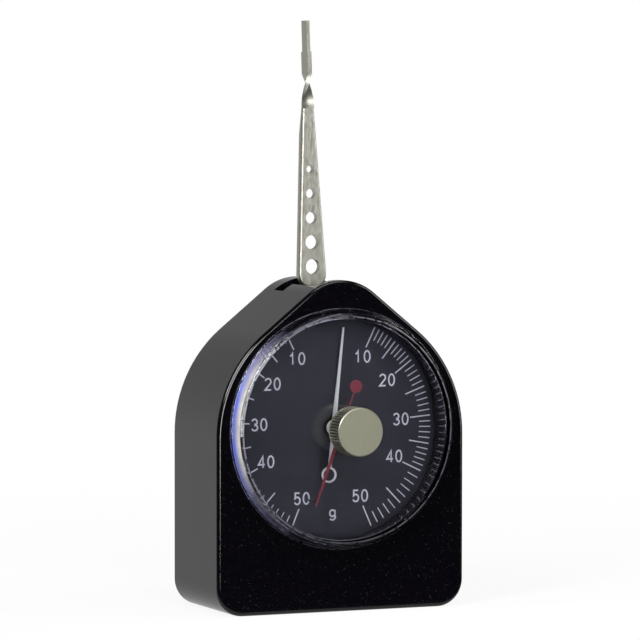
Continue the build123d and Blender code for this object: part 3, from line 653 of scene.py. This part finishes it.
class GAUGE_OT_crystal(bpy.types.Operator):
    """Turns the clear cup crystal with its rounded rim"""
    bl_idname = "gauge.crystal"
    bl_label = "Crystal"

    # How far the bush's flange stands out past the bore, and the rounding of the inner corner
    flange = 0.78 * MM
    inner_round = 0.4 * MM
    corner_steps = 5
    rim_steps = 8
    # A face belongs to the outer wall or the bead within these, and to the rim this near to the front
    wall_margin = 0.1 * MM
    bead_margin = 0.01 * MM
    rim_depth = 0.05 * MM
    # Most that a wall's normal, and least that a flat face's, points along the axis
    wall_slope = 0.5
    flat_slope = 0.999
    # Order of the crystal's materials; the satin one carries the painted glow on the left
    satin = 1
    ground = 2

    def execute(self, context):
        props = context.scene.gauge_crystal
        front, back = CRYSTAL_LOW.y, CRYSTAL_HIGH.y
        outer = (CRYSTAL_HIGH.x - CRYSTAL_LOW.x) / 2
        rim, side, rounding, bead = outer - props.draft, props.side_wall, props.rim_radius, props.bead
        bore = (BUSH_HIGH.z - BUSH_LOW.z) / 2 - self.flange
        inner_face, inner_round = front + props.wall, self.inner_round
        profile = [(back, outer - side), (back, outer)]
        profile += arc((FRONT, outer - bead), bead, pi / 2, pi, self.corner_steps)
        profile += arc((front + rounding, rim - rounding), rounding, pi / 2, pi, self.rim_steps)
        profile += [(front, bore), (inner_face, bore)]
        profile += arc((inner_face + inner_round, rim - side - inner_round), inner_round, pi, pi / 2,
                       self.corner_steps)
        shape = turned(profile, props.segments, DIAL_MIDDLE, closed=True)
        for face in shape.faces:
            middle = face.calc_center_median()
            slope = abs(face.normal.y)
            outside = Vector((middle.x, middle.z - DIAL_MIDDLE)).length > rim - self.wall_margin
            # A face of the outer wall takes the satin edge with its painted glow, unless it lies on the bead
            if outside and slope < self.wall_slope:
                on_bead = FRONT - bead - self.bead_margin < middle.y < FRONT
                face.material_index = self.ground if on_bead else self.satin
            # The first step of the rim, next to the flat face
            if front < middle.y < front + self.rim_depth and slope < self.flat_slope:
                face.material_index = self.ground
        piece = new_piece("crystal_cup", shape, clear_acrylic(), satin_acrylic_painted_glow(), ground_acrylic())
        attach(piece, "case")
        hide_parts("crystal")
        return {"FINISHED"}


class GAUGE_OT_dial(bpy.types.Operator):
    """Paints the dial and prints its two mirrored scales and their figures"""
    bl_idname = "gauge.dial"
    bl_label = "Dial"

    # Readings and their angles from the top, the same to the left and to the right
    readings = ((10, 26.6), (15, 40.5), (20, 54.1), (25, 70.0), (30, 85.8), (35, 100.9), (40, 115.9),
                (45, 136.2), (50, 156.6))
    units_between = 5
    # Figures and the middle of each, in millimetres to the side of the dial's middle and above it
    figures = (("10", 7.6, 14.8), ("20", 13.3, 9.6), ("30", 16.45, 1.1), ("40", 14.9, -6.85),
               ("50", 6.8, -15.0))
    gram = ("g", 0.3, -18.2)
    # Distance from one figure to the next, as a share of their height
    advance = 0.76

    def ticks(self, props, ink):
        """Each tick is a point with its own turn, width and length; the tree lays a bar of ink on it."""
        rows = []
        for index, (reading, angle) in enumerate(self.readings):
            rows.append((angle, props.long_width, props.long_tick))
            if index + 1 < len(self.readings):
                step = (self.readings[index + 1][1] - angle) / self.units_between
                rows += [(angle + step * k, props.short_width, props.short_tick)
                         for k in range(1, self.units_between)]
        rows += [(-angle, width, length) for angle, width, length in rows]
        rows = [(angle - degrees(props.print_turn), width, length) for angle, width, length in rows]
        mesh = bpy.data.meshes.new("dial_ticks")
        points = []
        for angle, width, length in rows:
            middle = props.tick_outer - length / 2
            points.append((middle * sin(radians(angle)), DIAL_FACE - props.ink_thickness / 2,
                           DIAL_MIDDLE + middle * cos(radians(angle))))
        mesh.from_pydata(points, [], [])
        turns, widths, lengths = zip(*rows)
        for name, column in (("turn", [radians(turn) for turn in turns]), ("width", widths),
                             ("length", lengths)):
            mesh.attributes.new(name, "FLOAT", "POINT").data.foreach_set("value", column)
        piece = bpy.data.objects.new("dial_ticks", mesh)
        bpy.context.scene.collection.objects.link(piece)

        tree, given = new_tree("bars of ink", {"Ink Thickness": "Float"})
        reads = {name: add_node(tree, "GeometryNodeInputNamedAttribute", {"data_type": "FLOAT"},
                                {"Name": name}).outputs["Attribute"] for name in ("turn", "width", "length")}
        bar = add_node(tree, "GeometryNodeMeshCube", inputs={"Size": (1, 1, 1)})
        turn = add_node(tree, "ShaderNodeCombineXYZ", inputs={"Y": reads["turn"]})
        size = add_node(tree, "ShaderNodeCombineXYZ",
                        inputs={"X": reads["width"], "Y": given.outputs["Ink Thickness"],
                                "Z": reads["length"]})
        laid = add_node(tree, "GeometryNodeInstanceOnPoints",
                        inputs={"Points": given.outputs["Geometry"], "Instance": bar.outputs["Mesh"],
                                "Rotation": turn.outputs["Vector"], "Scale": size.outputs["Vector"]})
        end_tree(tree, laid.outputs["Instances"], ink)
        run_tree(piece, tree, {"Ink Thickness": props.ink_thickness})
        return piece

    def lettering(self, props, ink):
        """Plain figures and the gram's letter, each stroke a thin raised ribbon of ink."""
        shape = bmesh.new()
        words = [(text, side * x, z) for text, x, z in self.figures for side in (-1, 1)] + [self.gram]
        tall = props.figure - props.stroke
        for text, x, z in words:
            for index, sign in enumerate(text):
                shift = x * MM + (index - (len(text) - 1) / 2) * self.advance * props.figure
                for line in SIGNS[sign]:
                    points = [(shift + px * tall, z * MM + (pz - 0.5) * tall) for px, pz in line]
                    ribbon(shape, points, props.stroke / 2, props.ink_thickness)
        turn_on_dial(shape, -props.print_turn)
        return new_piece("dial_figures", shape, ink)

    def execute(self, context):
        finishes, props = context.scene.gauge_finishes, context.scene.gauge_dial
        dress("dial_plate", dial_paint(finishes.dial))
        ink = screen_ink(finishes.ink)
        for piece in (self.ticks(props, ink), self.lettering(props, ink)):
            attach(piece, "case")
        return {"FINISHED"}


class GAUGE_OT_pointers(bpy.types.Operator):
    """Paints the white pointer and the red memory pointer"""
    bl_idname = "gauge.pointers"
    bl_label = "Pointers"

    disc_steps = 48

    def execute(self, context):
        finishes = context.scene.gauge_finishes
        dress("pointer", pointer_paint("white pointer enamel", finishes.hand))
        props = context.scene.gauge_memory
        root, tip, neck = props.root_width / 2, props.tip_width / 2, props.neck_width / 2
        needle = [(-root, 0), (-tip, props.reach), (tip, props.reach), (root, 0)]
        tail = [(-neck, -props.disc_reach), (-neck, 0), (neck, 0), (neck, -props.disc_reach)]
        low, high = (corner.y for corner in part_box("memory_pointer"))
        shape = bmesh.new()
        sheet_shape(shape, needle, low, high)
        sheet_shape(shape, tail, low, high)
        for z, radius in ((-props.disc_reach, props.disc_radius), (0, props.hub_radius)):
            sheet_shape(shape, bow(0, z, radius, radius, 0, -360, self.disc_steps)[:-1], low, high)
        turn_on_dial(shape, props.turn)
        piece = new_piece("red_pointer", shape, pointer_paint("red pointer enamel", finishes.memory))
        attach(piece, "memory")
        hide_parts("memory_pointer")
        return {"FINISHED"}


class GAUGE_OT_knob(bpy.types.Operator):
    """Turns the reset knob and lays its straight knurls round it"""
    bl_idname = "gauge.knob"
    bl_label = "Reset knob"

    # A knurl's size as a share of the pitch, and the depth of the core under the knurls in knurls
    ridge_share = 0.3
    core_depth = 1.5
    # Lips of the two end flanges, as shares of the chamfer
    front_lip = 0.2
    back_lip = 0.4
    # The groove ring, black as painted shade between the knurls, stands a hair proud of the core, and reaches
    # down into it
    groove_proud = 0.03 * MM
    groove_depth = 0.4 * MM
    # The black washer of painted shade stops this short of the knob's back end
    shade_washer_gap = 0.15 * MM
    segments = 128

    def knurls(self, metal):
        """Tree that sets ridges of four sides round a ring, turned to the knob's axis."""
        tree, given = new_tree("straight knurls", {"Ridges": "Int", "Ring Radius": "Float",
                                                   "Ridge Size": "Float", "Ridge Length": "Float",
                                                   "Middle": "Vector"})
        ring = add_node(tree, "GeometryNodeMeshCircle", inputs={"Vertices": given.outputs["Ridges"],
                                                                "Radius": given.outputs["Ring Radius"]})
        ridge = add_node(tree, "GeometryNodeMeshCylinder",
                         inputs={"Vertices": 4, "Radius": given.outputs["Ridge Size"],
                                 "Depth": given.outputs["Ridge Length"]})
        step = add_node(tree, "ShaderNodeMath", {"operation": "DIVIDE"},
                        {0: 2 * pi, 1: given.outputs["Ridges"]})
        index = add_node(tree, "GeometryNodeInputIndex")
        angle = add_node(tree, "ShaderNodeMath", {"operation": "MULTIPLY"},
                         {0: index.outputs["Index"], 1: step.outputs["Value"]})
        turn = add_node(tree, "ShaderNodeCombineXYZ", inputs={"Z": angle.outputs["Value"]})
        laid = add_node(tree, "GeometryNodeInstanceOnPoints",
                        inputs={"Points": ring.outputs["Mesh"], "Instance": ridge.outputs["Mesh"],
                                "Rotation": turn.outputs["Vector"]})
        set_down = add_node(tree, "GeometryNodeTransform",
                            inputs={"Geometry": laid.outputs["Instances"],
                                    "Translation": given.outputs["Middle"], "Rotation": (pi / 2, 0, 0)})
        both = add_node(tree, "GeometryNodeJoinGeometry")
        tree.links.new(given.outputs["Geometry"], both.inputs[0])
        tree.links.new(set_down.outputs["Geometry"], both.inputs[0])
        end_tree(tree, both.outputs["Geometry"], metal)
        return tree

    def execute(self, context):
        props = context.scene.gauge_knob
        outer = (KNOB_HIGH.x - KNOB_LOW.x) / 2
        front, back = KNOB_LOW.y, KNOB_LOW.y + props.length
        ridge_size = 2 * pi * outer / props.ridges * self.ridge_share
        core = outer - ridge_size * self.core_depth
        edge, boss = props.chamfer, props.boss_radius
        front_lip, back_lip = edge * self.front_lip, edge * self.back_lip
        metal = drawn_metal("satin nickel", context.scene.gauge_finishes.nickel, 0.42, 0.12 * MM, (1, 1, 1))
        profile = [(front, 0), (front, outer - edge), (front + edge - front_lip, outer - front_lip),
                   (front + edge, outer - front_lip), (front + edge, core), (back - edge, core),
                   (back - edge, outer - back_lip), (back - back_lip, outer - back_lip),
                   (back, outer - edge), (back, boss), (KNOB_HIGH.y, boss), (KNOB_HIGH.y, 0)]
        knob = new_piece("knurled_knob", turned(profile, self.segments, DIAL_MIDDLE, closed=False), metal)
        run_tree(knob, self.knurls(metal), {
            "Ridges": props.ridges, "Ring Radius": outer - ridge_size, "Ridge Size": ridge_size,
            "Ridge Length": props.length - 2 * props.ridge_end,
            "Middle": (0, (front + back) / 2, DIAL_MIDDLE)})
        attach(knob, "memory")
        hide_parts("reset_knob")

        # Two black rings of painted shade: one in the grooves between the knurls, and the washer behind the
        # knob
        black = painted_shade_black()
        for name, near, far, inside, outside in (
                ("knob_groove_shade", front + edge, back - edge, core - self.groove_depth,
                 core + self.groove_proud),
                ("knob_shade_washer", back, KNOB_HIGH.y - self.shade_washer_gap, boss, props.shade_washer_radius)):
            ring = [(near, inside), (near, outside), (far, outside), (far, inside)]
            piece = new_piece(name, turned(ring, self.segments, DIAL_MIDDLE, closed=True), black)
            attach(piece, "memory")
        return {"FINISHED"}


class GAUGE_OT_arm(bpy.types.Operator):
    """Finishes the pressed measuring arm and the collars behind its holes"""
    bl_idname = "gauge.arm"
    bl_label = "Measuring arm"

    # The holes run up the arm, which leans to the left at rest
    first_hole = (-0.445 * MM, 72.393 * MM)
    pitch = 5.2 * MM
    lean = radians(1.7936)
    hole_radii = (1.62 * MM, 1.523 * MM, 1.288 * MM, 1.049 * MM, 0.814 * MM)
    segments = 40

    def execute(self, context):
        # Rolled strip, pressed and tumbled: satin, with marks that run up the arm
        metal = drawn_metal("satin stainless strip", context.scene.gauge_finishes.arm, 0.4, 0.15 * MM,
                            (1, 1, 0.12))
        dress("measuring_arm", metal)
        props = context.scene.gauge_arm
        near = FRONT + props.web_back
        far = near + props.collar_depth
        shape = bmesh.new()
        for index, inner in enumerate(self.hole_radii):
            x = self.first_hole[0] - index * self.pitch * sin(self.lean)
            z = self.first_hole[1] + index * self.pitch * cos(self.lean)
            outer = inner + props.collar_wall
            profile = [(near, inner), (near, outer), (far, outer), (far, inner)]
            ring = turned(profile, self.segments, z, closed=True)
            bmesh.ops.translate(ring, vec=(x, 0, 0), verts=ring.verts)
            mesh = bpy.data.meshes.new("collar")
            ring.to_mesh(mesh)
            ring.free()
            shape.from_mesh(mesh)
            bpy.data.meshes.remove(mesh)
        piece = new_piece("arm_collars", shape, metal)
        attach(piece, "arm")
        return {"FINISHED"}


class GAUGE_OT_movement(bpy.types.Operator):
    """Finishes the brass, bronze, steel and spring pieces of the movement and the fittings"""
    bl_idname = "gauge.movement"
    bl_label = "Movement"

    dressed_above = ("case_body", "back_cover", "crystal", "dial_plate", "pointer", "memory_pointer",
                     "reset_knob", "measuring_arm")
    # The fittings near the dial are black as painted shade, so that they do not show on it
    painted_shade_fittings = ("crystal_bush", "bush_ring", "memory_hub", "friction_washer", "knob_spindle",
                 "pointer_hub", "pointer_bushes", "pinion_arbor", "hairspring_collet", "drag_pin",
                 "movement_front_plate")

    def execute(self, context):
        metals = {
            # Rolled brass plate, grained and left bare: a warm yellow with a soft streak
            "brass": drawn_metal("grained brass", linear("#d6b369"), 0.35, 0.2 * MM, (0.15, 1, 1)),
            # Turned phosphor bronze: browner than brass, and even
            "bronze": drawn_metal("turned bronze", linear("#b98a55"), 0.35, 0.15 * MM, (1, 1, 1)),
            # Ground silver steel: a cool grey with marks along its length
            "steel": drawn_metal("ground steel", linear("#b9b9ba"), 0.3, 0.15 * MM, (1, 0.2, 1)),
            # Hardened and blued spring strip: dark slate blue with a clear sheen
            "spring": drawn_metal("blued spring steel", linear("#4a5570"), 0.28, 0.15 * MM, (1, 0.2, 1)),
            # Nickel plate over brass: a warm white and the brightest of them
            "nickel": drawn_metal("bright nickel plate", linear("#cfcdbf"), 0.2, 0.15 * MM, (1, 1, 1)),
        }
        black = painted_shade_black()
        for row in frame["record"]["subparts"]:
            node = row["node"]
            if node not in self.dressed_above:
                dress(node, black if node in self.painted_shade_fittings else metals[row["material_slot"]])
        return {"FINISHED"}


class GAUGE_PT_panel(bpy.types.Panel):
    """Lists the pieces of the gauge with their sizes and colours."""
    bl_label = "Dial force gauge"
    bl_idname = "GAUGE_PT_panel"
    bl_space_type = "VIEW_3D"
    bl_region_type = "UI"
    bl_category = "Gauge"

    def draw(self, context):
        for operator in OPERATORS:
            self.layout.operator(operator.bl_idname)
        for name, group in PROPERTIES:
            box = self.layout.box()
            for key in group.__annotations__:
                box.prop(getattr(context.scene, name), key)


OPERATORS = (GAUGE_OT_stage, GAUGE_OT_case, GAUGE_OT_crystal, GAUGE_OT_dial, GAUGE_OT_pointers, GAUGE_OT_knob,
             GAUGE_OT_arm, GAUGE_OT_movement)


def register():
    for name, group in PROPERTIES:
        bpy.utils.register_class(group)
        setattr(bpy.types.Scene, name, PointerProperty(type=group))
    for item in (*OPERATORS, GAUGE_PT_panel):
        bpy.utils.register_class(item)


def unregister():
    for item in reversed((*OPERATORS, GAUGE_PT_panel)):
        bpy.utils.unregister_class(item)
    for name, group in reversed(PROPERTIES):
        delattr(bpy.types.Scene, name)
        bpy.utils.unregister_class(group)


def main():
    register()
    for operator in OPERATORS:
        group, name = operator.bl_idname.split(".")
        getattr(getattr(bpy.ops, group), name)()


if __name__ == "__main__":
    main()
